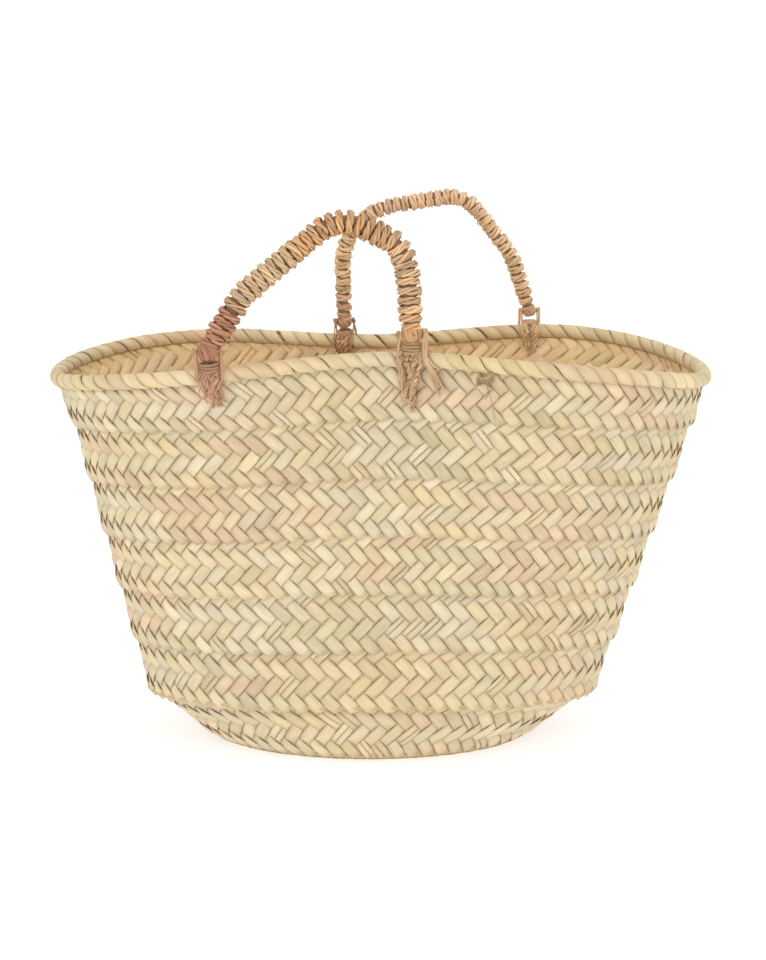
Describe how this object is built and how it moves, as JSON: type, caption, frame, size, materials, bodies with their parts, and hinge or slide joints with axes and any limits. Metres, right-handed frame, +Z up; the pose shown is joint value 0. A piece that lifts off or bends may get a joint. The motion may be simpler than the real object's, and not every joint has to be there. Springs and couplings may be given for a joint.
{
  "type": "woven market basket",
  "caption": "Tall palm-leaf basket, flared from an oval base to a long pinched mouth, with a bound rope rim and arched rope handles that swing.",
  "frame": {"origin": "on the surface the basket stands on, under the middle of its outline", "axes": "+Z up, +X along the length of the mouth, -Y towards the front long wall, which has the thicker handle and the tie-off knot"},
  "size_m": [0.5, 0.2483, 0.4181],
  "materials": {
    "palm_plait": "matte",
    "sewing_cord": "matte",
    "palm_rope": "matte",
    "rim_palm": "matte",
    "front_rope": "matte",
    "back_rope": "matte"
  },
  "bodies": {
    "basket": {"base_heart": "palm_plait", "base_coil_1": "palm_plait", "base_coil_2": "palm_plait", "base_seam_1": "sewing_cord", "base_seam_2": "sewing_cord", "wall_course_1": "palm_plait", "wall_course_2": "palm_plait", "wall_course_3": "palm_plait", "wall_course_4": "palm_plait", "wall_course_5": "palm_plait", "wall_course_6": "palm_plait", "wall_course_7": "palm_plait", "seam_cord_1": "sewing_cord", "seam_cord_2": "sewing_cord", "seam_cord_3": "sewing_cord", "seam_cord_4": "sewing_cord", "seam_cord_5": "sewing_cord", "seam_cord_6": "sewing_cord", "seam_cord_7": "sewing_cord", "rim_rope": "palm_rope", "rim_binding": "rim_palm", "tie_off_knot": "sewing_cord", "front_handle_lashing_left": "front_rope", "front_handle_lashing_right": "front_rope", "back_handle_lashing_left": "back_rope", "back_handle_lashing_right": "back_rope"},
    "front_handle": {"front_handle_core": "front_rope", "front_handle_wrap": "front_rope"},
    "back_handle": {"back_handle_core": "back_rope", "back_handle_wrap": "back_rope"}
  },
  "joints": [
    {"name": "front_handle_swing", "type": "hinge", "parent": "basket", "child": "front_handle", "pos_m": [-0.12472, -0.11657, 0.32083], "axis": [0.9791, 0.198, 0.0463], "range_deg": [-60, 105]},
    {"name": "back_handle_swing", "type": "hinge", "parent": "basket", "child": "back_handle", "pos_m": [-0.02852, 0.08766, 0.30347], "axis": [-0.981, -0.1932, -0.018], "range_deg": [-60, 105]}
  ]
}
